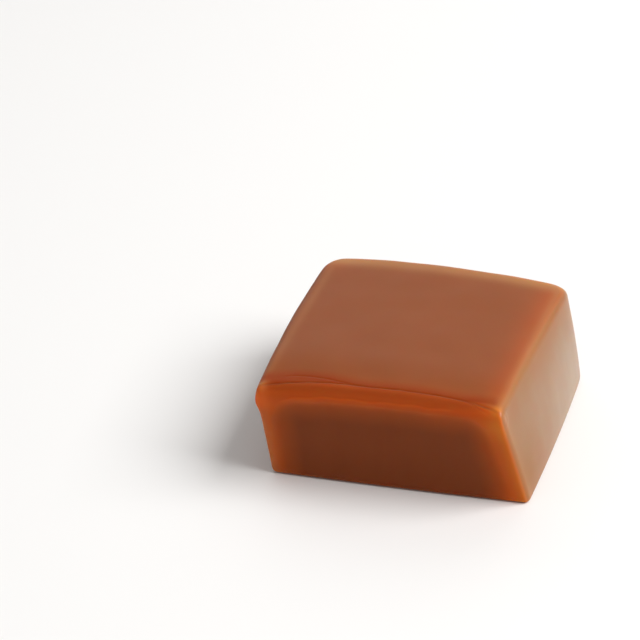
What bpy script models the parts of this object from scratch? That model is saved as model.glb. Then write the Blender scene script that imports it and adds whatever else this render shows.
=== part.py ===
"""Soft caramel sweet: one cut block of set caramel, modelled as a single closed solid.

Run with:  blender --background --python part.py

Units are metres and +Z is up. The block rests on its flat underside at Z = 0, with the
origin under the middle of its outline. The long cut face with the folded upper lip looks
towards -Y. The block is hand cut, so it leans a little and no two corners are alike.

The form is worked out in three steps. A straight box is cut into a grid that is fine along
its edges. Each grid point near an edge moves onto that edge's rounding. Then every point
moves with the lean, the uneven corners, the swell of the faces and the hollow of the front.
"""
import math

import bmesh
import bpy
from mathutils import Vector

MM = 0.001

# Driving dimensions of the straight block
WIDTH = 24.0 * MM
DEPTH = 22.0 * MM
HEIGHT = 9.55 * MM

# How far the soft block has slumped: the top sits this far to the left of the base
LEAN = 1.35 * MM

# Shift of each upper corner from a true rectangle, as (X, Y), keyed by the corner's signs
TOP_CORNER_SHIFT = {
    (-1, -1): (0.68 * MM, -0.6 * MM),
    (1, -1): (-0.85 * MM, -0.35 * MM),
    (-1, 1): (0.15 * MM, 1.1 * MM),
    (1, 1): (0.45 * MM, -0.2 * MM),
}

# Swell of the faces at their middle. The right face bellies out at BELLY_LEVEL of the
# height, and BELLY_PINCH draws it back in towards its upper edge. A face's swell fades
# towards the opposite face as this power of the distance.
CROWN = 0.55 * MM
LEFT_SWELL = 0.4 * MM
RIGHT_SWELL = 0.55 * MM
BELLY_LEVEL = 0.4
BELLY_PINCH = 4.4
BACK_SWELL = 0.25 * MM
BASE_FRONT_SWELL = 0.15 * MM
SWELL_POWER = 3

# Rounding radii of the upright edges, keyed by the corner's signs
UPRIGHT_RADIUS = {
    (-1, -1): 0.6 * MM,
    (1, -1): 0.5 * MM,
    (-1, 1): 2.4 * MM,
    (1, 1): 2.1 * MM,
}

# Rounding radii of the top rim, keyed by the signs of its side, and of the base rim
TOP_RIM_RADIUS = {
    (0, -1): 1.25 * MM,
    (0, 1): 0.9 * MM,
    (-1, 0): 0.9 * MM,
    (1, 0): 0.5 * MM,
}
BASE_RIM_RADIUS = 0.4 * MM
RIM_BLEND = 0.8 * MM

# The front cut face is a shallow hollow, framed by a lip above it and a rib at each side.
# It sinks in over a ramp, fades out towards the base and moves only the front of the block.
HOLLOW_DEPTH = 0.3 * MM
LIP_HEIGHT = 1.2 * MM
LEFT_RIB = 1.3 * MM
RIGHT_RIB = 0.9 * MM
HOLLOW_CORNER = 2.4 * MM
HOLLOW_RAMP = 1.1 * MM
HOLLOW_FOOT = 3.0 * MM
HOLLOW_POWER = 8

# Small marks of the knife at the two ends of the lip: how far below the top they lie on the
# front's upright edges, how far they push the paste out and how wide they are
NIB_DROP = 1.75 * MM
NIB_PUSH = 0.5 * MM
NIB_SIZE = 0.6 * MM
PINCH_DROP = 0.8 * MM
PINCH_PUSH = 0.1 * MM
PINCH_SIZE = 0.6 * MM
PINCH_WAY = (0.5, -1.0, 0.5)

# Working grid: cells close to an edge grow by a constant ratio, the others are equal
EDGE_CELLS = 6
FIRST_CELL = 0.13 * MM
CELL_GROWTH = 1.32
PLAIN_CELL = 1.3 * MM
CUT_MARGIN = 0.0001 * MM

CARAMEL_COLOUR = (0.33, 0.10, 0.035, 1.0)


def clear_scene():
    """Remove whatever the file opened with."""
    for obj in list(bpy.data.objects):
        bpy.data.objects.remove(obj)


def caramel_material():
    """Glossy brown sugar paste."""
    material = bpy.data.materials.new("caramel")
    material.use_nodes = True
    shader = material.node_tree.nodes["Principled BSDF"]
    shader.inputs["Base Color"].default_value = CARAMEL_COLOUR
    shader.inputs["Roughness"].default_value = 0.35
    shader.inputs["Metallic"].default_value = 0.0
    return material


def smooth_step(low, high, value):
    """Rise smoothly from 0 at low to 1 at high."""
    t = min(max((value - low) / (high - low), 0.0), 1.0)
    return t * t * (3.0 - 2.0 * t)


def bump(distance, size):
    """Round bump that is 1 at its middle and fades away over about twice its size."""
    return math.exp(-((distance / size) ** 2))


def grid_places(length):
    """Cuts across one side of the box, close together near both of its ends."""
    half = length / 2.0
    edge_steps = [FIRST_CELL * CELL_GROWTH ** number for number in range(EDGE_CELLS)]
    edge_zone = sum(edge_steps)
    inward = [sum(edge_steps[:count]) for count in range(1, EDGE_CELLS + 1)]
    plain = max(round((length - 2.0 * edge_zone) / PLAIN_CELL), 2)
    middle = [edge_zone + (length - 2.0 * edge_zone) * number / plain
              for number in range(1, plain)]
    places = [step - half for step in inward + middle]
    places += [half - step for step in inward]
    return sorted(places)


def rim_radius(flat, z):
    """Rounding radius of the nearest rim, blended where two sides of the rim meet."""
    if z < 0.0:
        return BASE_RIM_RADIUS
    total = 0.0
    weighed = 0.0
    for (side, end), radius in TOP_RIM_RADIUS.items():
        gap = WIDTH / 2.0 - side * flat.x if side else DEPTH / 2.0 - end * flat.y
        weight = 1.0 / (gap ** 2 + RIM_BLEND ** 2) ** 2
        total += weight
        weighed += weight * radius
    return weighed / total


def rounded_plan(flat):
    """Round a corner of the outline; also give the way out and the gap to the outline."""
    side = 1 if flat.x > 0.0 else -1
    end = 1 if flat.y > 0.0 else -1
    radius = UPRIGHT_RADIUS[(side, end)]
    core = Vector((side * (WIDTH / 2.0 - radius), end * (DEPTH / 2.0 - radius)))
    out_x = side * (flat.x - core.x)
    out_y = end * (flat.y - core.y)
    if out_x > 0.0 and out_y > 0.0:
        reach = max(out_x, out_y)
        outward = (flat - core).normalized()
        return core + outward * reach, outward, radius - reach
    gap_x = radius - out_x
    gap_y = radius - out_y
    if gap_x < gap_y:
        return flat, Vector((side, 0.0)), gap_x
    return flat, Vector((0.0, end)), gap_y


def rounded(point):
    """Move a point of the straight box onto the rounding beside it."""
    flat, outward, gap = rounded_plan(point.xy)
    radius = rim_radius(flat, point.z)
    past_side = radius - gap
    past_top = radius - (HEIGHT / 2.0 - abs(point.z))
    if past_side <= 0.0 or past_top <= 0.0:
        return Vector((flat.x, flat.y, point.z))
    stretch = radius / math.hypot(past_side, past_top)
    flat = flat + outward * past_side * (stretch - 1.0)
    rise = HEIGHT / 2.0 - radius + past_top * stretch
    return Vector((flat.x, flat.y, math.copysign(rise, point.z)))


def top_corner_shift(u, v, w):
    """Shift caused by the uneven upper corners, fading to nothing at the base."""
    shift = Vector((0.0, 0.0, 0.0))
    for (side, end), (dx, dy) in TOP_CORNER_SHIFT.items():
        share = (1.0 + side * u) * (1.0 + end * v) / 4.0
        shift += Vector((dx, dy, 0.0)) * (share * w)
    return shift


def face_swell(u, v, w):
    """Pillow-like swell of the side faces and of the top."""
    over_x = 1.0 - u * u
    over_y = 1.0 - v * v
    belly = 1.0 - BELLY_PINCH * (w - BELLY_LEVEL) ** 2
    right = RIGHT_SWELL * max(u, 0.0) ** SWELL_POWER * over_y * belly
    left = LEFT_SWELL * max(-u, 0.0) ** SWELL_POWER * over_y
    back = BACK_SWELL * max(v, 0.0) ** SWELL_POWER * over_x
    front = BASE_FRONT_SWELL * max(-v, 0.0) ** SWELL_POWER * over_x * (1.0 - w)
    return Vector((right - left, back - front, CROWN * over_x * w))


def front_hollow(point, v):
    """How far the front face is sunk, inside its lip and its two ribs."""
    below_lip = HEIGHT - LIP_HEIGHT - point.z
    off_left = point.x + WIDTH / 2.0 - LEFT_RIB
    off_right = WIDTH / 2.0 - RIGHT_RIB - point.x
    across = max(HOLLOW_CORNER - min(off_left, off_right), 0.0)
    upward = max(HOLLOW_CORNER - below_lip, 0.0)
    inside = HOLLOW_CORNER - math.hypot(across, upward)
    above_base = smooth_step(0.0, HOLLOW_FOOT, point.z)
    near_front = max(-v, 0.0) ** HOLLOW_POWER
    return HOLLOW_DEPTH * smooth_step(0.0, HOLLOW_RAMP, inside) * above_base * near_front


def knife_marks(point):
    """The nib at the left end of the lip and the pinched knuckle at its right end."""
    nib = Vector((-WIDTH / 2.0, -DEPTH / 2.0, HEIGHT - NIB_DROP))
    knuckle = Vector((WIDTH / 2.0, -DEPTH / 2.0, HEIGHT - PINCH_DROP))
    nib_push = NIB_PUSH * bump((point - nib).length, NIB_SIZE)
    knuckle_push = PINCH_PUSH * bump((point - knuckle).length, PINCH_SIZE)
    return Vector((-nib_push, 0.0, 0.0)) + Vector(PINCH_WAY) * knuckle_push


def hand_cut(point):
    """Move a point of the straight block to its place on the leaning, uneven one."""
    u = point.x / (WIDTH / 2.0)
    v = point.y / (DEPTH / 2.0)
    w = point.z / HEIGHT
    lean = Vector((-LEAN * w, 0.0, 0.0))
    sink = Vector((0.0, front_hollow(point, v), 0.0))
    slump = lean + top_corner_shift(u, v, w) + face_swell(u, v, w)
    return point + slump + sink + knife_marks(point)


def block_mesh():
    """The straight box, cut into its grid, rounded and then made uneven."""
    size = Vector((WIDTH, DEPTH, HEIGHT))
    bm = bmesh.new()
    bmesh.ops.create_cube(bm, size=1.0)
    bmesh.ops.scale(bm, vec=size, verts=bm.verts)
    for axis in range(3):
        normal = Vector([1.0 if number == axis else 0.0 for number in range(3)])
        for place in grid_places(size[axis]):
            geometry = bm.verts[:] + bm.edges[:] + bm.faces[:]
            bmesh.ops.bisect_plane(bm, geom=geometry, dist=CUT_MARGIN,
                                   plane_co=normal * place, plane_no=normal)
    for vert in bm.verts:
        vert.co = hand_cut(rounded(vert.co) + Vector((0.0, 0.0, HEIGHT / 2.0)))
    mesh = bpy.data.meshes.new("caramel")
    bm.to_mesh(mesh)
    bm.free()
    return mesh


def centre_on_base(mesh):
    """Move the mesh so that the origin is under the middle of its outline."""
    low = Vector([min(vert.co[axis] for vert in mesh.vertices) for axis in range(3)])
    high = Vector([max(vert.co[axis] for vert in mesh.vertices) for axis in range(3)])
    shift = Vector((-(low.x + high.x) / 2.0, -(low.y + high.y) / 2.0, -low.z))
    for vert in mesh.vertices:
        vert.co += shift


def build_caramel():
    """The whole sweet, as one object."""
    mesh = block_mesh()
    centre_on_base(mesh)
    mesh.shade_smooth()
    mesh.materials.append(caramel_material())
    obj = bpy.data.objects.new("caramel", mesh)
    bpy.context.scene.collection.objects.link(obj)


def main():
    clear_scene()
    build_caramel()


main()
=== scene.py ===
"""Soft caramel sweet: the finished look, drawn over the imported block.

Laid out as a Blender add-on and run as a script. One operator makes the caramel and one
makes the table, lamps and camera. Lengths are in metres.
"""
import math

import bpy
import numpy as np
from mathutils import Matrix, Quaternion, Vector


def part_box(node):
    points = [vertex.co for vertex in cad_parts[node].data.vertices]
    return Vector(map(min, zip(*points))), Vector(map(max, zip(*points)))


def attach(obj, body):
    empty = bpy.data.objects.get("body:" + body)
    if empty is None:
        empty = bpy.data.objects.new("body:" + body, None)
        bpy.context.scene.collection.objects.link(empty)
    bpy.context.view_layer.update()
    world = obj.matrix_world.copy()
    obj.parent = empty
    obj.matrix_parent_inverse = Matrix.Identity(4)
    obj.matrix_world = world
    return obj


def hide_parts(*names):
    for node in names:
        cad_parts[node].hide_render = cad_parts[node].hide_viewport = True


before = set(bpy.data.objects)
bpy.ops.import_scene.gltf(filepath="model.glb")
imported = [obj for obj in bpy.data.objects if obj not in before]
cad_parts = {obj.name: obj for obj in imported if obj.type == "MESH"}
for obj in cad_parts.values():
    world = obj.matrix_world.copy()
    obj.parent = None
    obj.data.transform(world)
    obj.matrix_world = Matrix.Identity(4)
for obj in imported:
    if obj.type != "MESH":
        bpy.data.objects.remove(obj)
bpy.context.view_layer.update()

bl_info = {
    "name": "Soft Caramel",
    "version": (1, 0, 0),
    "blender": (4, 5, 0),
    "location": "3D View > Sidebar > Caramel",
    "description": "Models a hand-cut soft caramel and the table it rests on",
    "category": "Add Mesh",
}

MM = 0.001
BLOCK = "caramel"
BLOCK_LOW, BLOCK_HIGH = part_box(BLOCK)
BLOCK_SIZE = BLOCK_HIGH - BLOCK_LOW
BLOCK_MIDDLE = (BLOCK_LOW + BLOCK_HIGH) / 2.0


# ---------------------------------------------------------------------------
# Settings a user would change
# ---------------------------------------------------------------------------

class CaramelShape(bpy.types.PropertyGroup):
    """Sizes of the marks that the knife and the cook's fingers left on the block."""

    cell: bpy.props.FloatProperty(
        name="Cell", description="Width of the working grid's cells on the broad faces",
        default=1.25 * MM, unit="LENGTH")
    rim: bpy.props.FloatProperty(
        name="Rim", description="First rounding of every edge, before the skin is drawn on",
        default=0.8 * MM, unit="LENGTH")
    rim_steps: bpy.props.IntProperty(
        name="Rim Steps", description="Facets across each rounded edge", default=5, min=2)
    crease_gap: bpy.props.FloatProperty(
        name="Crease Gap", description="From the upper front edge back to the long crease",
        default=0.70 * MM, unit="LENGTH")
    crease_depth: bpy.props.FloatProperty(
        name="Crease Depth", description="Depth of the long crease behind the lip",
        default=0.065 * MM, unit="LENGTH")
    crease_width: bpy.props.FloatProperty(
        name="Crease Width", description="Half width of the long crease",
        default=0.10 * MM, unit="LENGTH")
    fold_gap: bpy.props.FloatProperty(
        name="Fold Gap", description="From the long crease back to the short one at its left",
        default=1.05 * MM, unit="LENGTH")
    lip_drop: bpy.props.FloatProperty(
        name="Lip Drop", description="From the top down to the bead that borders the hollow",
        default=0.93 * MM, unit="LENGTH")
    # The lip's painted glow reaches this much farther back at its right end.
    lip_flare: bpy.props.FloatProperty(
        name="Lip Flare", description="How far the clear lip widens at its right end",
        default=0.6 * MM, unit="LENGTH")
    lip_sag: bpy.props.FloatProperty(
        name="Lip Sag", description="How much lower the bead runs at its left end",
        default=0.9 * MM, unit="LENGTH")
    # The strips beside the hollow are not sunk and stay out of the hollow's painted shade.
    left_rib: bpy.props.FloatProperty(
        name="Left Rib", description="Width of the clear strip left of the hollow",
        default=0.35 * MM, unit="LENGTH")
    right_rib: bpy.props.FloatProperty(
        name="Right Rib", description="Width of the clear strip right of the hollow",
        default=1.0 * MM, unit="LENGTH")
    hollow_corner: bpy.props.FloatProperty(
        name="Hollow Corner", description="Radius of the hollow's upper corners",
        default=2.8 * MM, unit="LENGTH")
    dent_depth: bpy.props.FloatProperty(
        name="Dent Depth", description="From the highest to the lowest of the broad soft dents",
        default=0.12 * MM, unit="LENGTH")
    dent_size: bpy.props.FloatProperty(
        name="Dent Size", description="Width of the broad soft dents",
        default=5.0 * MM, unit="LENGTH")


class CaramelColours(bpy.types.PropertyGroup):
    """Colours of the set sugar from its thick middle to its thin edges, and its painted light.
    """

    body: bpy.props.FloatVectorProperty(
        name="Body", description="Milky brown of the broad faces",
        subtype="COLOR", size=3, default=(0.250, 0.063, 0.0125))
    # Painted shade: the hollow front face and the crease lines, darkened where shade falls.
    deep_shade: bpy.props.FloatVectorProperty(
        name="Deep", description="Dark brown of the hollow cut face",
        subtype="COLOR", size=3, default=(0.230, 0.054, 0.0135))
    rust: bpy.props.FloatVectorProperty(
        name="Rust", description="Reddish brown along the creases",
        subtype="COLOR", size=3, default=(0.250, 0.034, 0.001))
    # Painted glow of light shining through the thin lip and edges.
    amber_glow: bpy.props.FloatVectorProperty(
        name="Amber", description="Clear orange brown of the lip",
        subtype="COLOR", size=3, default=(0.415, 0.075, 0.0095))
    # Painted glow on the strips beside the hollow and at the nib, and a painted highlight along
    # the bead.
    honey_glow_highlight: bpy.props.FloatVectorProperty(
        name="Honey", description="Light orange of the ribs beside the hollow",
        subtype="COLOR", size=3, default=(0.580, 0.105, 0.010))
    # Painted highlight on the lit upright edge and the pinch at the lip's right end.
    gold_highlight: bpy.props.FloatVectorProperty(
        name="Gold", description="Golden brown of the thin upright edge at the lip's right end",
        subtype="COLOR", size=3, default=(0.500, 0.162, 0.020))
    # Painted sheen and glow along the rims.
    tan: bpy.props.FloatVectorProperty(
        name="Tan", description="Milky tan of the hazy rims",
        subtype="COLOR", size=3, default=(0.400, 0.175, 0.060))
    # Colour of the end face where its painted sheen is weakest.
    pale: bpy.props.FloatVectorProperty(
        name="Pale", description="Milky tan of the end face where it is least dry",
        subtype="COLOR", size=3, default=(0.240, 0.088, 0.010))
    # Partly the drier cut sugar of the end face, partly a painted sheen of the bright table.
    dry_sheen: bpy.props.FloatVectorProperty(
        name="Dry", description="Light tan of the end face where it is driest",
        subtype="COLOR", size=3, default=(0.282, 0.185, 0.113))


class StageSettings(bpy.types.PropertyGroup):
    """Where the camera stands and what colour the table has."""

    azimuth: bpy.props.FloatProperty(
        name="Azimuth", description="How far the camera stands round to the right",
        default=math.radians(20.3), subtype="ANGLE")
    elevation: bpy.props.FloatProperty(
        name="Elevation", description="Height of the camera above the table, as an angle",
        default=math.radians(31.5), subtype="ANGLE")
    roll: bpy.props.FloatProperty(
        name="Roll", description="Sideways tilt of the camera",
        default=math.radians(-5.0), subtype="ANGLE")
    distance: bpy.props.FloatProperty(
        name="Distance", description="From the camera to the point it looks at",
        default=231.1 * MM, unit="LENGTH")
    aim: bpy.props.FloatVectorProperty(
        name="Aim", description="Point that the camera looks at, left of and above the block",
        default=(-10.16 * MM, 1.44 * MM, 8.7 * MM), subtype="TRANSLATION")
    lens: bpy.props.FloatProperty(
        name="Lens", description="Focal length in millimetres", default=140.6)
    table: bpy.props.FloatVectorProperty(
        name="Table", description="Colour of the table top",
        subtype="COLOR", size=3, default=(0.86, 0.85, 0.84))


# ---------------------------------------------------------------------------
# Shader maths
# ---------------------------------------------------------------------------

# Sockets of the Mix node that mix colours, by their numbers
MIX_SHARE = 0
MIX_FIRST = 6
MIX_SECOND = 7
MIX_RESULT = 2


class Shade:
    """A shader socket that Python arithmetic can use: each sign adds its Math node."""

    def __init__(self, recipe, socket):
        self.recipe = recipe
        self.socket = socket

    def maths(self, operation, *values):
        settings = {"operation": operation}
        return self.recipe.add("ShaderNodeMath", settings, dict(enumerate(values)))

    def __add__(self, other):
        return self.maths("ADD", self, other)

    def __radd__(self, other):
        return self.maths("ADD", other, self)

    def __sub__(self, other):
        return self.maths("SUBTRACT", self, other)

    def __rsub__(self, other):
        return self.maths("SUBTRACT", other, self)

    def __mul__(self, other):
        return self.maths("MULTIPLY", self, other)

    def __rmul__(self, other):
        return self.maths("MULTIPLY", other, self)

    def __abs__(self):
        return self.maths("ABSOLUTE", self)


class Recipe:
    """Builds one material, node by node."""

    def __init__(self, name):
        self.material = bpy.data.materials.new(name)
        self.material.use_nodes = True
        self.tree = self.material.node_tree
        self.shader = self.tree.nodes["Principled BSDF"]

    def join(self, socket, value):
        """Link a shade to a socket, or set the socket's own value."""
        if isinstance(value, Shade):
            self.tree.links.new(value.socket, socket)
        elif socket.type == "RGBA":
            socket.default_value = (*value, 1.0)
        else:
            socket.default_value = value

    def add(self, kind, settings, inputs, output=0):
        """Add any node: its settings first, then the values or links of its sockets."""
        node = self.tree.nodes.new(kind)
        for name, value in settings.items():
            setattr(node, name, value)
        for name, value in inputs.items():
            self.join(node.inputs[name], value)
        return Shade(self, node.outputs[output])

    def blend(self, share, first, second):
        """Mix two colours by a share from 0 to 1."""
        inputs = {MIX_SHARE: share, MIX_FIRST: first, MIX_SECOND: second}
        return self.add("ShaderNodeMix", {"data_type": "RGBA"}, inputs, output=MIX_RESULT)

    def painted(self, name):
        """A value that was painted on the piece's vertices."""
        return self.add("ShaderNodeAttribute", {"attribute_name": name}, {}, output="Fac")

    def rise(self, value, low, high):
        """Rise smoothly from 0 at low to 1 at high; low may be the larger one."""
        settings = {"interpolation_type": "SMOOTHSTEP"}
        inputs = {"Value": value, "From Min": min(low, high), "From Max": max(low, high)}
        if low > high:
            inputs.update({"To Min": 1.0, "To Max": 0.0})
        return self.add("ShaderNodeMapRange", settings, inputs)

    def noise(self, place, scale, detail):
        """Soft noise, stretched by a scale for each axis."""
        spot = self.add("ShaderNodeVectorMath", {"operation": "MULTIPLY"}, {0: place, 1: scale})
        inputs = {"Vector": spot, "Scale": 1.0, "Detail": detail}
        return self.add("ShaderNodeTexNoise", {}, inputs)

    def set_sockets(self, **values):
        """Set the shader's sockets; an underscore in a name stands for a space."""
        for name, value in values.items():
            self.join(self.shader.inputs[name.replace("_", " ")], value)


def toned(colour, factor):
    """A colour made darker or lighter by a factor."""
    return tuple(factor * part for part in colour)


# ---------------------------------------------------------------------------
# Modelling helpers
# ---------------------------------------------------------------------------

# Weights no larger than this are left out of a vertex group
FAINT = 0.002


def deselect_all():
    """Leave nothing selected."""
    bpy.ops.object.select_all(action="DESELECT")


def select_only(piece):
    """Select one piece and make it the active one."""
    deselect_all()
    piece.select_set(True)
    bpy.context.view_layer.objects.active = piece


def apply_modifier(piece, kind, **settings):
    """Add a modifier, set it up and apply it at once."""
    modifier = piece.modifiers.new(kind.lower(), kind)
    for name, value in settings.items():
        setattr(modifier, name, value)
    bpy.context.view_layer.objects.active = piece
    bpy.ops.object.modifier_apply(modifier=modifier.name)


def vertex_rows(mesh, name):
    """What every vertex holds under "co" or "normal", one row each."""
    flat = np.empty(len(mesh.vertices) * 3)
    mesh.vertices.foreach_get(name, flat)
    return flat.reshape(-1, 3)


def fade(low, high, values):
    """Rise smoothly from 0 at low to 1 at high; low may be the larger one."""
    t = np.clip((values - low) / (high - low), 0.0, 1.0)
    return t * t * (3.0 - 2.0 * t)


def ridge(distances, half_width):
    """A soft line: 1 on it, fading to nothing over about twice its half width."""
    return np.exp(-((distances / half_width) ** 2))


def waves(values, parts):
    """A sum of sine waves, each given as its height, its rate and its start."""
    return sum(height * np.sin(rate * values + start) for height, rate, start in parts)


def distances_to(points, spot):
    """Distance of each point from one spot."""
    return np.linalg.norm(points - spot, axis=1)


def press(piece, name, weights, height, **settings):
    """Raise or sink the skin where the weights say, with a weighted Displace modifier."""
    group = piece.vertex_groups.new(name=name)
    for index in np.flatnonzero(weights > FAINT):
        group.add([int(index)], float(weights[index]), "REPLACE")
    values = {"mid_level": 0.0, **settings}
    apply_modifier(piece, "DISPLACE", vertex_group=name, strength=height, **values)
    piece.vertex_groups.remove(piece.vertex_groups[name])


def paint(piece, name, values):
    """Store one value for each vertex, for the material to read."""
    layer = piece.data.attributes.new(name, "FLOAT", "POINT")
    layer.data.foreach_set("value", np.ascontiguousarray(values, dtype=np.float32))


# ---------------------------------------------------------------------------
# The block's own landmarks
# ---------------------------------------------------------------------------

# The axes, by their numbers
X, Y, Z = range(3)


def block_corner(side, end, level):
    """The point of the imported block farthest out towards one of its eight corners."""
    points = vertex_rows(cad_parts[BLOCK].data, "co")
    way = np.array([side / BLOCK_SIZE.x, end / BLOCK_SIZE.y, level / BLOCK_SIZE.z])
    return Vector(points[np.argmax((points - np.array(BLOCK_MIDDLE)) @ way)])


# Keyed by the corner's signs along X, Y and Z
CORNERS = {
    (side, end, level): block_corner(side, end, level)
    for side in (-1, 1) for end in (-1, 1) for level in (-1, 1)
}

# The edges, each by its two corners. They run from left to right, from the front to the
# back and from the top down.
LIP_EDGE = ((-1, -1, 1), (1, -1, 1))
BACK_TOP_EDGE = ((-1, 1, 1), (1, 1, 1))
LEFT_TOP_EDGE = ((-1, -1, 1), (-1, 1, 1))
RIGHT_TOP_EDGE = ((1, -1, 1), (1, 1, 1))
FRONT_LEFT_UPRIGHT = ((-1, -1, 1), (-1, -1, -1))
FRONT_RIGHT_UPRIGHT = ((1, -1, 1), (1, -1, -1))
BACK_LEFT_UPRIGHT = ((-1, 1, 1), (-1, 1, -1))
BACK_RIGHT_UPRIGHT = ((1, 1, 1), (1, 1, -1))
BACK_BASE_EDGE = ((-1, 1, -1), (1, 1, -1))
LEFT_BASE_EDGE = ((-1, -1, -1), (-1, 1, -1))
RIGHT_BASE_EDGE = ((1, -1, -1), (1, 1, -1))


def straight_edge(edge, along, across, places):
    """Follow a straight edge: its coordinate on one axis, at places on another axis."""
    start, stop = (CORNERS[corner] for corner in edge)
    share = (places - start[along]) / (stop[along] - start[along])
    return start[across] + (stop[across] - start[across]) * share


def spot_on(edge, distance):
    """The place on a straight edge, this far from its first corner."""
    start, stop = (CORNERS[corner] for corner in edge)
    return np.array(start + (stop - start).normalized() * distance)


def gap_to_edge(points, edge):
    """Distance of each point from a straight edge."""
    start, stop = (np.array(CORNERS[corner]) for corner in edge)
    way = stop - start
    share = np.clip((points - start) @ way / (way @ way), 0.0, 1.0)
    return np.linalg.norm(points - start - share[:, None] * way, axis=1)


def along_lip(points):
    """Place along the upper front edge, from -1 at its left end to 1 at its right end."""
    left, right = (CORNERS[corner].x for corner in LIP_EDGE)
    return (2.0 * points[:, X] - left - right) / (right - left)


# ---------------------------------------------------------------------------
# Where the creases, the lip, the hollow and the pale band of painted sheen run
# ---------------------------------------------------------------------------

# The long crease droops forward to the edge towards both of its ends, as these powers of
# its place along the lip. It stands back in a hump and wanders a little.
LEFT_DROOP = 3.2
RIGHT_DROOP = 4.5
HUMP = 0.12
HUMP_PLACE = -0.4
HUMP_WIDTH = 0.2
CREASE_WAVES = ((0.02, 17.0, 0.0), (0.012, 41.0, 1.0))

# Places along the lip where the short crease leaves the long one and where it has gone
# its full gap, and the same for the back border of the lip's painted glow
FOLD_SPREAD = (-0.12, -0.75)
LIP_SPREAD = (0.65, 0.95)

# The hollow's upper border sags towards the left as this power, and wanders a little
SAG_POWER = 2.2
BORDER_WAVES = ((0.05 * MM, 900.0, 0.0), (0.04 * MM, 2300.0, 2.0))

# The pale band of the end face, partly drier cut sugar and partly painted sheen, slopes down
# towards the back. The face grows paler towards the back, and less pale off the band and, as
# painted shade, near its upper edge, except at the back end of that edge. Only the reach is in
# metres: the other lengths are in millimetres.
BAND_SLOPE = 0.62
BAND_LEVEL = 4.0
BAND_SOFTNESS = 1.0
PALENESS_AT_MIDDLE = 0.88
PALENESS_TO_BACK = 0.045
PALENESS_OFF_BAND = -0.065
RIM_LOSS = 0.75
RIM_LOSS_REACH = 2.5 * MM
RIM_LOSS_RANGE = (12.0, 5.0)


def behind_crease(points, shape):
    """How far each point lies behind the long crease; in front of it, less than nothing."""
    edge = straight_edge(LIP_EDGE, X, Y, points[:, X])
    place = along_lip(points)
    droop = np.abs(place) ** np.where(place < 0.0, LEFT_DROOP, RIGHT_DROOP)
    hump = HUMP * ridge(place - HUMP_PLACE, HUMP_WIDTH)
    gap = shape.crease_gap * (1.0 - droop + hump + waves(place, CREASE_WAVES))
    return points[:, Y] - edge - gap


def behind_fold(points, shape):
    """How far each point lies behind the short crease, which ends in the long one."""
    return behind_crease(points, shape) - shape.fold_gap * fade(*FOLD_SPREAD, along_lip(points))


def behind_lip(points, shape):
    """How far each point lies behind the lip and its painted glow, which widens at its right
    end.
    """
    return behind_crease(points, shape) - shape.lip_flare * fade(*LIP_SPREAD, along_lip(points))


def inside_hollow(points, shape):
    """How far each point of the front face lies inside the border of its hollow."""
    x, z = points[:, X], points[:, Z]
    sag = shape.lip_sag * np.clip(-along_lip(points), 0.0, 1.0) ** SAG_POWER
    below = BLOCK_HIGH.z - shape.lip_drop - sag + waves(x, BORDER_WAVES) - z
    off_left = x - straight_edge(FRONT_LEFT_UPRIGHT, Z, X, z) - shape.left_rib
    off_right = straight_edge(FRONT_RIGHT_UPRIGHT, Z, X, z) - x - shape.right_rib
    corner = shape.hollow_corner
    across = np.maximum(corner - np.minimum(off_left, off_right), 0.0)
    upward = np.maximum(corner - below, 0.0)
    return corner - np.hypot(across, upward)


def dryness_and_sheen(points):
    """How pale the end face is at each point, from 0 to 1: drier cut sugar and painted sheen.
    """
    y, z = points[:, Y] / MM, points[:, Z] / MM
    off_band = np.hypot(z + BAND_SLOPE * y - BAND_LEVEL, BAND_SOFTNESS) - BAND_SOFTNESS
    share = PALENESS_AT_MIDDLE + PALENESS_TO_BACK * y + PALENESS_OFF_BAND * off_band
    near_rim = ridge(gap_to_edge(points, RIGHT_TOP_EDGE), RIM_LOSS_REACH)
    loss = RIM_LOSS * near_rim * fade(*RIM_LOSS_RANGE, y)
    return np.clip(share * (1.0 - loss), 0.0, 1.0)


# ---------------------------------------------------------------------------
# The caramel's shape
# ---------------------------------------------------------------------------

# The first cut lies this many rim widths in from each edge
CUT_MARGIN = 1.5

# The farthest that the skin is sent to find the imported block
SKIN_REACH = 1.5 * MM

# The cells are halved twice, out to these reaches behind the long crease, and out to a
# share of them below the bead
FINE_REACHES = (1.6 * MM, 1.3 * MM)
FINE_DROP = 0.6

# Where each mark runs along the lip: none and all of it at its left end, then none and
# all of it at its right end
CREASE_RUN = ((-1.02, -0.93), (0.98, 0.88))
FOLD_RUN = ((-0.9, -0.7), (-0.1, -0.25))
FORK_RUN = ((0.7, 0.76), (0.99, 0.9))
BEAD_RUN = ((-0.95, -0.7), (0.72, 0.5))
ROLL_RUN = ((-1.1, -0.8), (1.05, 0.8))

# Widths and depths of the short crease and of the fork, as shares of the long crease's
FOLD_WIDTH = 1.2
FOLD_DEPTH = 0.6
FORK_WIDTH = 0.9
FORK_DEPTH = 0.5

# The fork leaves the long crease at this place along the lip, and runs this far in front
# of it for each unit of place
FORK_START = 0.68
FORK_SPREAD = 1.6 * MM

# The long crease is deeper in some places than in others
CREASE_EVEN = 0.7
CREASE_UNEVEN = 0.3
SLOW_WAVE = 9.0
SLOW_START = 0.8
QUICK_WAVE = 23.0

# The soft roll of the lip in front of the long crease, and the bead below the lip
ROLL_GAP = 0.6 * MM
ROLL_WIDTH = 0.5 * MM
ROLL_HEIGHT = 0.03 * MM
BEAD_GAP = 0.1 * MM
BEAD_WIDTH = 0.16 * MM
BEAD_HEIGHT = 0.035 * MM

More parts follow.
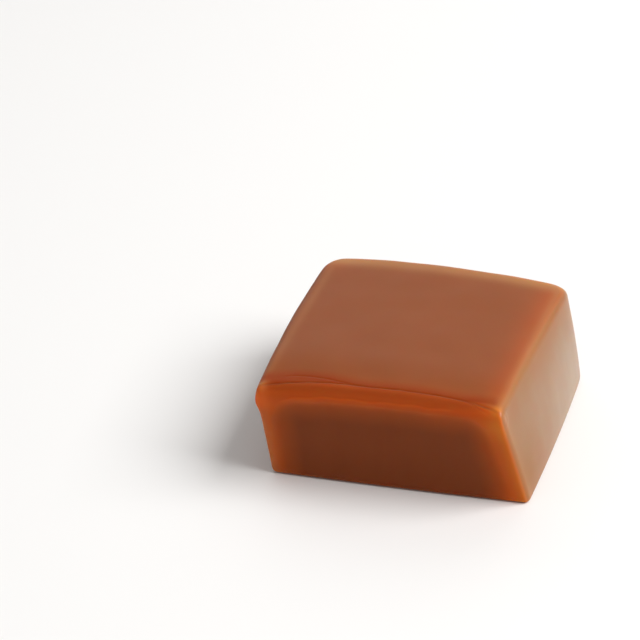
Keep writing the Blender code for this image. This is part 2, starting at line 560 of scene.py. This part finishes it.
# The pinched wrinkles at the lip's right end: a knot and a faint ring round it
WRINKLE_DROP = 0.9 * MM
WRINKLE_HEIGHT = 0.025 * MM
KNOT_WIDTH = 0.3 * MM
RING_RADIUS = 0.75 * MM
RING_WIDTH = 0.15 * MM
RING_SHARE = 0.4

# The hollow sinks in over a ramp. It and the soft dents fade out towards the base.
SUNK_RAMP = 0.7 * MM
SUNK_DEPTH = 0.08 * MM
OFF_BASE = (0.3 * MM, 2.0 * MM)

# Parts of a unit normal, from where a mark on that face has died away to where it is whole
SKIN_FACES_UP = (0.25, 0.7)
SKIN_FACES_FRONT = (0.2, 0.7)
SKIN_OFF_LEFT = (-0.35, 0.2)


def grid_cuts(length, cell, margin):
    """Places of the cuts across one side of the block, none closer to its ends than margin."""
    cells = max(round((length - 2.0 * margin) / cell), 1)
    step = (length - 2.0 * margin) / cells
    return [margin - length / 2.0 + step * number for number in range(cells + 1)]


def rough_block(shape):
    """A plain cube at the block's size, cut into a grid."""
    deselect_all()
    bpy.ops.mesh.primitive_cube_add(size=1.0, location=BLOCK_MIDDLE, scale=BLOCK_SIZE)
    block = bpy.context.object
    block.name = "soft_caramel"
    block.data.name = "soft_caramel"
    bpy.ops.object.transform_apply(location=True, rotation=True, scale=True)
    bpy.ops.object.mode_set(mode="EDIT")
    for axis in (X, Y, Z):
        across = Vector([float(number == axis) for number in (X, Y, Z)])
        for place in grid_cuts(BLOCK_SIZE[axis], shape.cell, CUT_MARGIN * shape.rim):
            bpy.ops.mesh.select_all(action="SELECT")
            bpy.ops.mesh.bisect(plane_co=BLOCK_MIDDLE + across * place, plane_no=across)
    bpy.ops.object.mode_set(mode="OBJECT")
    return block


def lean_block(block):
    """Pull the plain block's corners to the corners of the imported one, with a lattice."""
    deselect_all()
    bpy.ops.object.add(type="LATTICE", location=BLOCK_MIDDLE)
    cage = bpy.context.object
    cage.scale = BLOCK_SIZE
    cage.data.points_u = cage.data.points_v = cage.data.points_w = 2
    for point in cage.data.points:
        signs = tuple(int(math.copysign(1, value)) for value in point.co)
        place = CORNERS[signs] - BLOCK_MIDDLE
        point.co_deform = [place[axis] / BLOCK_SIZE[axis] for axis in (X, Y, Z)]
    bpy.context.view_layer.update()
    apply_modifier(block, "LATTICE", object=cage)
    bpy.data.objects.remove(cage)


def round_rims(block, shape):
    """Round all twelve edges of the block."""
    select_only(block)
    bpy.ops.object.mode_set(mode="EDIT")
    bpy.ops.mesh.select_mode(type="EDGE")
    bpy.ops.mesh.select_all(action="DESELECT")
    bpy.ops.mesh.edges_select_sharp(sharpness=math.radians(45.0))
    bpy.ops.mesh.bevel(offset=shape.rim, segments=shape.rim_steps, affect="EDGES",
                       clamp_overlap=False)
    bpy.ops.object.mode_set(mode="OBJECT")


def draw_skin(block):
    """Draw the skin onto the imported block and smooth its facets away."""
    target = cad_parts[BLOCK]
    apply_modifier(block, "SUBSURF", levels=1, render_levels=1)
    apply_modifier(block, "SHRINKWRAP", target=target, wrap_method="PROJECT",
                   use_negative_direction=True, use_positive_direction=True,
                   project_limit=SKIN_REACH)
    apply_modifier(block, "SHRINKWRAP", target=target, wrap_method="NEAREST_SURFACEPOINT")
    apply_modifier(block, "SMOOTH", factor=0.5, iterations=2)
    apply_modifier(block, "SUBSURF", levels=1, render_levels=1)


def cut_finer(block, chosen):
    """Halve the cells of the skin whose corners are all chosen."""
    select_only(block)
    bpy.ops.object.mode_set(mode="EDIT")
    bpy.ops.mesh.select_mode(type="FACE")
    bpy.ops.mesh.select_all(action="DESELECT")
    bpy.ops.object.mode_set(mode="OBJECT")
    for face in block.data.polygons:
        face.select = all(chosen[index] for index in face.vertices)
    bpy.ops.object.mode_set(mode="EDIT")
    bpy.ops.mesh.subdivide(number_cuts=1, smoothness=0.0)
    bpy.ops.object.mode_set(mode="OBJECT")


def refine_lip(block, shape):
    """Cut the skin finer where the creases and the bead run."""
    for reach in FINE_REACHES:
        points = vertex_rows(block.data, "co")
        level = BLOCK_HIGH.z - shape.lip_drop - shape.lip_sag - FINE_DROP * reach
        cut_finer(block, (behind_crease(points, shape) < reach) & (points[:, Z] > level))


def share_along(place, run):
    """How much of a mark there is at each place along the lip."""
    left, right = run
    return fade(*left, place) * fade(*right, place)


def press_marks(block, shape):
    """Press the creases, the bead, the hollow and the soft dents into the skin."""
    points, normals = vertex_rows(block.data, "co"), vertex_rows(block.data, "normal")
    place = along_lip(points)
    behind = behind_crease(points, shape)
    inside = inside_hollow(points, shape)
    facing_up = fade(*SKIN_FACES_UP, normals[:, Z])
    facing_front = fade(*SKIN_FACES_FRONT, -normals[:, Y])
    off_base = fade(*OFF_BASE, points[:, Z])
    width, depth = shape.crease_width, shape.crease_depth

    crease = ridge(behind, width) * share_along(place, CREASE_RUN)
    uneven = np.sin(SLOW_WAVE * place + SLOW_START) * np.sin(QUICK_WAVE * place)
    crease *= CREASE_EVEN + CREASE_UNEVEN * uneven
    fold = ridge(behind_fold(points, shape), FOLD_WIDTH * width) * share_along(place, FOLD_RUN)
    behind_fork = behind + FORK_SPREAD * np.clip(place - FORK_START, 0.0, 1.0)
    fork = ridge(behind_fork, FORK_WIDTH * width) * share_along(place, FORK_RUN)
    roll = ridge(behind + ROLL_GAP, ROLL_WIDTH) * share_along(place, ROLL_RUN)
    bead = ridge(inside + BEAD_GAP, BEAD_WIDTH) * share_along(place, BEAD_RUN)
    from_knot = distances_to(points, spot_on(FRONT_RIGHT_UPRIGHT, WRINKLE_DROP))
    ring = RING_SHARE * ridge(from_knot - RING_RADIUS, RING_WIDTH)
    wrinkles = (ridge(from_knot, KNOT_WIDTH) + ring) * fade(*SKIN_OFF_LEFT, normals[:, X])
    sunk = fade(0.0, SUNK_RAMP, inside) * facing_front * off_base

    press(block, "crease", crease * facing_up, -depth)
    press(block, "fold", fold * facing_up, -FOLD_DEPTH * depth)
    press(block, "fork", fork * facing_up, -FORK_DEPTH * depth)
    press(block, "roll", roll * facing_up, ROLL_HEIGHT)
    press(block, "bead", bead * facing_front, BEAD_HEIGHT)
    press(block, "pinch", wrinkles, WRINKLE_HEIGHT)
    press(block, "sunk", sunk, -SUNK_DEPTH)
    dents = bpy.data.textures.new("dents", "CLOUDS")
    dents.noise_scale = shape.dent_size
    dents.noise_depth = 1
    press(block, "dents", off_base, shape.dent_depth, texture=dents,
          texture_coords="LOCAL", mid_level=0.5)
    bpy.data.textures.remove(dents)


# ---------------------------------------------------------------------------
# The caramel's colours, with painted glow, sheen, highlights and shade
# ---------------------------------------------------------------------------

# Painted light at the edges: a painted glow of light shining through the thin sugar, painted
# sheen along the rims and painted highlights on the lit edges. For each look, the edges that
# have it, each with its strength and its reach in millimetres
LIT_EDGES = {
    "glow": (
        (LIP_EDGE, 0.7, 1.5),
        (RIGHT_TOP_EDGE, 0.75, 1.7),
        (FRONT_LEFT_UPRIGHT, 1.0, 1.5),
        (FRONT_RIGHT_UPRIGHT, 1.0, 1.2),
        (BACK_LEFT_UPRIGHT, 0.8, 1.6),
        (BACK_RIGHT_UPRIGHT, 0.6, 1.2),
        (BACK_BASE_EDGE, 0.4, 1.2),
        (LEFT_BASE_EDGE, 0.4, 1.2),
        (RIGHT_BASE_EDGE, 0.3, 0.8),
    ),
    "haze_sheen": (
        (BACK_TOP_EDGE, 0.95, 0.95),
        (LEFT_TOP_EDGE, 0.25, 0.45),
    ),
    "rib_glow": (
        (FRONT_LEFT_UPRIGHT, 0.5, 0.5),
        (FRONT_RIGHT_UPRIGHT, 1.0, 1.7),
    ),
    "edge_highlight": (
        (FRONT_RIGHT_UPRIGHT, 1.0, 0.6),
    ),
    "mist_sheen": (
        (FRONT_LEFT_UPRIGHT, 0.95, 0.55),
        (FRONT_RIGHT_UPRIGHT, 0.35, 0.9),
        (RIGHT_TOP_EDGE, 0.5, 0.5),
    ),
}

# Spots of painted light on the front's upright edges, a painted highlight at the pinch and a
# painted glow at the nib: the edge, how far below the top the spot lies, and its reach
LIT_SPOTS = {
    "pinch": (FRONT_RIGHT_UPRIGHT, 1.5 * MM, 1.3 * MM),
    "nib": (FRONT_LEFT_UPRIGHT, 1.3 * MM, 1.0 * MM),
}

# Noise in the sugar: how many of its cells fit in a metre along each axis, and how many
# finer layers it has
CLOUD_RATES = (190.0, 190.0, 190.0)
STREAK_RATES = (480.0, 400.0, 70.0)
NOISE_DETAIL = 3.0

# Ranges over which a look sets in, from none of it to all of it. These go by how squarely
# the skin faces the front, the right end or upwards, from 0 to 1.
FACES_FRONT = (0.25, 0.75)
FACES_END = (0.15, 0.65)
LIP_OFF_END = (0.8, 0.3)
RIB_OFF_END = (0.75, 0.25)
GOLD_OFF_END = (0.9, 0.4)
HAZE_ON_TOP = (0.0, 0.6)
RUST_ON_TOP = (0.2, 0.8)
LIP_ON_TOP = (0.3, 0.95)
CREASE_ON_TOP = (0.3, 0.7)
COAT_ON_TOP = (0.8, 1.0)

# These go by millimetres behind a crease, inside the hollow or off a line
IN_LIP = (0.05, -0.3)
IN_RUST = (1.5, -0.1)
IN_COAT = (0.4, 6.0)
HOLLOW_RIM = (-0.05, 1.2)
HOLLOW_MIDDLE = (0.4, 3.2)
CREASE_REACH = (0.22, 0.0)
BEAD_REACH = (0.2, 0.0)

# These go by the noise
CLOUDY = (0.3, 0.75)
STREAKY_CUT = (0.3, 0.7)
STREAKY_END = (0.35, 0.7)

# The hollow's border is ragged by this much, in millimetres, and the bead's painted highlight
# lies this far outside it
RAGGEDNESS = 0.5
BEAD_OFFSET = 0.08

# How much of each look shows where it is strongest
CLOUD_SHARE = 0.2
GLOW_SHARE = 0.85
END_SHARE = 0.78
END_STREAK_SHARE = 0.22
CREASE_SHADE_SHARE = 0.4
BEAD_HIGHLIGHT_SHARE = 0.3
NIB_GLOW_SHARE = 0.85
PINCH_HIGHLIGHT_SHARE = 0.7

# Tones of the colours where they are cloudy or streaked, and of the painted light: the lip's
# painted glow lighter where it faces the front and, as painted shade, darker where it faces up,
# and the nib's painted glow and the pinch's painted highlight made brighter
CLOUD_TONE = 0.82
STREAK_TONE = 0.95
LIP_FRONT_LIGHT_TONE = 1.15
LIP_TOP_SHADE_TONE = 0.76
NIB_GLOW_TONE = 1.3
PINCH_HIGHLIGHT_TONE = 1.2

# Roughness of the sugar, and what the clouds and the two cut faces add to it
ROUGHNESS = 0.40
CLOUD_ROUGHNESS = 0.08
CUT_ROUGHNESS = 0.06

# Glossy coat of the top behind the creases and of the end face
TOP_COAT = 0.25
END_COAT = 0.75


def paint_skin(block, shape):
    """Store on the skin what the material needs to know about each place."""
    points, normals = vertex_rows(block.data, "co"), vertex_rows(block.data, "normal")
    front = np.clip(-normals[:, Y], 0.0, 1.0)
    lip = behind_lip(points, shape)
    # Masks of the painted glow, sheen and highlights along the edges.
    for name, edges in LIT_EDGES.items():
        lights = [strength * ridge(gap_to_edge(points, edge), reach * MM)
                  for edge, strength, reach in edges]
        paint(block, name, np.max(lights, axis=0))
    # Masks of the painted glow and highlight spots.
    for name, (edge, drop, reach) in LIT_SPOTS.items():
        paint(block, name, ridge(distances_to(points, spot_on(edge, drop)), reach))
    paint(block, "behind", behind_crease(points, shape) / MM)
    paint(block, "inside", inside_hollow(points, shape) / MM)
    paint(block, "lip", lip / MM)
    paint(block, "upper", np.minimum(lip, behind_fold(points, shape)) / MM)
    paint(block, "front", front)
    paint(block, "end", np.clip(normals[:, X], 0.0, 1.0))
    paint(block, "top", np.clip(normals[:, Z], 0.0, 1.0))
    # Mask of the end face's drier look and painted sheen.
    paint(block, "dryness_and_sheen", dryness_and_sheen(points))
    paint(block, "bead", share_along(along_lip(points), BEAD_RUN) * front)


def caramel_finish(colours):
    """Set caramel: milky brown, painted shade in the hollow, painted glow where it is thin."""
    recipe = Recipe("set caramel")
    body, deep_shade, rust, amber_glow, honey_glow_highlight, gold_highlight, tan, pale, dry_sheen = (
        tuple(getattr(colours, name)) for name in
        ("body", "deep_shade", "rust", "amber_glow", "honey_glow_highlight", "gold_highlight", "tan", "pale", "dry_sheen"))
    place = recipe.add("ShaderNodeTexCoord", {}, {}, output="Object")
    behind, upper, inside, lip = (
        recipe.painted(name) for name in ("behind", "upper", "inside", "lip"))
    glow, haze_sheen, rib_glow, edge_highlight, mist_sheen = (recipe.painted(name) for name in LIT_EDGES)
    front, end, top = (recipe.painted(name) for name in ("front", "end", "top"))

    clouds = recipe.noise(place, CLOUD_RATES, NOISE_DETAIL)
    streaks = recipe.noise(place, STREAK_RATES, NOISE_DETAIL)
    facing_front = recipe.rise(front, *FACES_FRONT)
    facing_end = recipe.rise(end, *FACES_END)
    golden = recipe.rise(end, *GOLD_OFF_END)
    in_lip = recipe.rise(lip, *IN_LIP) * recipe.rise(end, *LIP_OFF_END)
    ragged = inside + RAGGEDNESS * clouds - RAGGEDNESS / 2.0
    # Painted shade of the hollow front face, darker towards its middle.
    hollow = (0.5 * recipe.rise(ragged, *HOLLOW_RIM)
              + 0.5 * recipe.rise(ragged, *HOLLOW_MIDDLE)) * facing_front
    crease = recipe.rise(abs(behind), *CREASE_REACH) * recipe.rise(top, *CREASE_ON_TOP)
    bead = recipe.rise(abs(inside + BEAD_OFFSET), *BEAD_REACH) * recipe.painted("bead")

    colour = recipe.blend(recipe.rise(clouds, *CLOUDY) * CLOUD_SHARE, body,
                          toned(body, CLOUD_TONE))
    # Painted glow of light shining through the thin edges.
    colour = recipe.blend(glow * GLOW_SHARE, colour, amber_glow)
    # Painted sheen and glow on the top's back and left rims.
    colour = recipe.blend(haze_sheen * recipe.rise(top, *HAZE_ON_TOP), colour, tan)
    colour = recipe.blend(recipe.rise(upper, *IN_RUST) * recipe.rise(top, *RUST_ON_TOP),
                          colour, rust)
    # Painted glow in the lip, lighter where it faces the front, painted shade where it faces
    # up.
    lip_glow_colour = recipe.blend(recipe.rise(top, *LIP_ON_TOP), toned(amber_glow, LIP_FRONT_LIGHT_TONE),
                              toned(amber_glow, LIP_TOP_SHADE_TONE))
    colour = recipe.blend(in_lip, colour, lip_glow_colour)
    # The end face's colour: partly drier cut sugar, partly painted sheen of the bright table.
    end_dry_sheen_colour = recipe.blend(recipe.painted("dryness_and_sheen"), pale, dry_sheen)
    end_streaks = END_SHARE + END_STREAK_SHARE * recipe.rise(streaks, *STREAKY_END)
    colour = recipe.blend(facing_end * end_streaks, colour, end_dry_sheen_colour)
    # Painted shade on the hollow front face, streaked.
    cut_shade_colour = recipe.blend(recipe.rise(streaks, *STREAKY_CUT), deep_shade,
                              toned(deep_shade, STREAK_TONE))
    colour = recipe.blend(hollow, colour, cut_shade_colour)
    # Painted sheen and glow along the front uprights and the right top rim.
    colour = recipe.blend(mist_sheen, colour, tan)
    # Painted glow on the strips beside the hollow.
    colour = recipe.blend(rib_glow * facing_front * recipe.rise(end, *RIB_OFF_END), colour, honey_glow_highlight)
    # Painted highlight on the lit upright edge at the lip's right end.
    colour = recipe.blend(edge_highlight * golden, colour, gold_highlight)
    # Painted shade in the crease lines.
    colour = recipe.blend(crease * CREASE_SHADE_SHARE, colour, deep_shade)
    # Painted highlight along the bead.
    colour = recipe.blend(bead * BEAD_HIGHLIGHT_SHARE, colour, honey_glow_highlight)
    # Painted glow at the nib, made brighter where it faces away from the lamps.
    colour = recipe.blend(recipe.painted("nib") * NIB_GLOW_SHARE, colour, toned(honey_glow_highlight, NIB_GLOW_TONE))
    # Painted highlight at the pinch.
    colour = recipe.blend(recipe.painted("pinch") * golden * PINCH_HIGHLIGHT_SHARE, colour,
                          toned(gold_highlight, PINCH_HIGHLIGHT_TONE))

    roughness = (ROUGHNESS + CLOUD_ROUGHNESS * clouds
                 + CUT_ROUGHNESS * front + CUT_ROUGHNESS * end)
    coat = (TOP_COAT * recipe.rise(top, *COAT_ON_TOP) * recipe.rise(upper, *IN_COAT)
            + END_COAT * facing_end)
    bump = recipe.add("ShaderNodeBump", {}, {"Strength": 0.25, "Distance": 0.06 * MM,
                                             "Height": streaks})
    recipe.set_sockets(Base_Color=colour, Roughness=roughness, Coat_Weight=coat,
                       Coat_Roughness=0.35, Specular_IOR_Level=0.075, Normal=bump,
                       Subsurface_Weight=1.0, Subsurface_Radius=(1.0, 0.35, 0.12),
                       Subsurface_Scale=1.6 * MM)
    return recipe.material


def make_caramel(shape, colours):
    """The whole sweet, from a plain cube to its finished skin."""
    block = rough_block(shape)
    lean_block(block)
    round_rims(block, shape)
    draw_skin(block)
    refine_lip(block, shape)
    press_marks(block, shape)
    paint_skin(block, shape)
    block.data.materials.append(caramel_finish(colours))
    block.data.shade_smooth()
    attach(block, "root")
    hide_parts(BLOCK)


# ---------------------------------------------------------------------------
# Table, lamps and camera
# ---------------------------------------------------------------------------

# Even light from all round: its colour and strength
ROOM_COLOUR = (1.0, 0.99, 0.97, 1.0)
ROOM_STRENGTH = 0.33

# Soft lamps that look at the origin: place, width, height and watts
SOFTBOXES = {
    "back wall": ((-0.35, 1.0, 0.62), 1.8, 1.0, 4.0),
    "side softbox": ((0.47, 0.06, 0.50), 0.5, 0.5, 6.0),
}

SENSOR_WIDTH = 36.0


def table_top(colour):
    """A plain pale table top, far larger than the view."""
    deselect_all()
    bpy.ops.mesh.primitive_plane_add(size=3.0, location=(0.0, 0.0, 0.0))
    table = bpy.context.object
    table.name = "table_top"
    recipe = Recipe("table top")
    recipe.set_sockets(Base_Color=tuple(colour), Roughness=0.6)
    table.data.materials.append(recipe.material)


def room_light():
    """Even light from all round."""
    world = bpy.data.worlds.new("room")
    world.use_nodes = True
    backdrop = world.node_tree.nodes["Background"]
    backdrop.inputs["Color"].default_value = ROOM_COLOUR
    backdrop.inputs["Strength"].default_value = ROOM_STRENGTH
    bpy.context.scene.world = world


def softbox(name, place, width, height, watts):
    """A large soft lamp that looks at the origin."""
    lamp = bpy.data.lights.new(name, "AREA")
    lamp.shape = "RECTANGLE"
    lamp.size = width
    lamp.size_y = height
    lamp.energy = watts
    holder = bpy.data.objects.new(name, lamp)
    holder.location = place
    holder.rotation_euler = Vector(place).to_track_quat("Z", "Y").to_euler()
    bpy.context.scene.collection.objects.link(holder)


def place_camera(stage):
    """The camera, turned round the block, above it and tilted a little sideways."""
    back = Vector((math.sin(stage.azimuth) * math.cos(stage.elevation),
                   -math.cos(stage.azimuth) * math.cos(stage.elevation),
                   math.sin(stage.elevation)))
    camera = bpy.data.cameras.new("camera")
    camera.lens = stage.lens
    camera.sensor_width = SENSOR_WIDTH
    camera.clip_start = 0.01
    holder = bpy.data.objects.new("camera", camera)
    holder.rotation_mode = "QUATERNION"
    tilt = Quaternion((0.0, 0.0, 1.0), stage.roll)
    holder.rotation_quaternion = back.to_track_quat("Z", "Y") @ tilt
    holder.location = Vector(stage.aim) + back * stage.distance
    bpy.context.scene.collection.objects.link(holder)
    bpy.context.scene.camera = holder


def set_stage(stage):
    """Table, room light, lamps and camera."""
    table_top(stage.table)
    room_light()
    for name, (place, width, height, watts) in SOFTBOXES.items():
        softbox(name, place, width, height, watts)
    place_camera(stage)
    bpy.context.scene.view_settings.view_transform = "Standard"


# ---------------------------------------------------------------------------
# Operators, panel and registration
# ---------------------------------------------------------------------------

class CARAMEL_OT_add_sweet(bpy.types.Operator):
    """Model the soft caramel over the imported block"""

    bl_idname = "caramel.add_sweet"
    bl_label = "Add Caramel"

    def execute(self, context):
        make_caramel(context.scene.caramel_shape, context.scene.caramel_colours)
        return {"FINISHED"}


class CARAMEL_OT_set_stage(bpy.types.Operator):
    """Set the table, the lamps and the camera"""

    bl_idname = "caramel.set_stage"
    bl_label = "Set Stage"

    def execute(self, context):
        set_stage(context.scene.caramel_stage)
        return {"FINISHED"}


class CARAMEL_PT_sidebar(bpy.types.Panel):
    """Sidebar panel with the caramel's settings and operators."""

    bl_idname = "CARAMEL_PT_sidebar"
    bl_label = "Soft Caramel"
    bl_space_type = "VIEW_3D"
    bl_region_type = "UI"
    bl_category = "Caramel"

    def draw(self, context):
        for group in (context.scene.caramel_shape, context.scene.caramel_colours,
                      context.scene.caramel_stage):
            box = self.layout.box()
            for name in group.__annotations__:
                box.prop(group, name)
        self.layout.operator(CARAMEL_OT_add_sweet.bl_idname)
        self.layout.operator(CARAMEL_OT_set_stage.bl_idname)


CLASSES = (
    CaramelShape,
    CaramelColours,
    StageSettings,
    CARAMEL_OT_add_sweet,
    CARAMEL_OT_set_stage,
    CARAMEL_PT_sidebar,
)


def register():
    for item in CLASSES:
        bpy.utils.register_class(item)
    bpy.types.Scene.caramel_shape = bpy.props.PointerProperty(type=CaramelShape)
    bpy.types.Scene.caramel_colours = bpy.props.PointerProperty(type=CaramelColours)
    bpy.types.Scene.caramel_stage = bpy.props.PointerProperty(type=StageSettings)


def unregister():
    del bpy.types.Scene.caramel_stage
    del bpy.types.Scene.caramel_colours
    del bpy.types.Scene.caramel_shape
    for item in reversed(CLASSES):
        bpy.utils.unregister_class(item)


def main():
    register()
    bpy.ops.caramel.add_sweet()
    bpy.ops.caramel.set_stage()


if __name__ == "__main__":
    main()
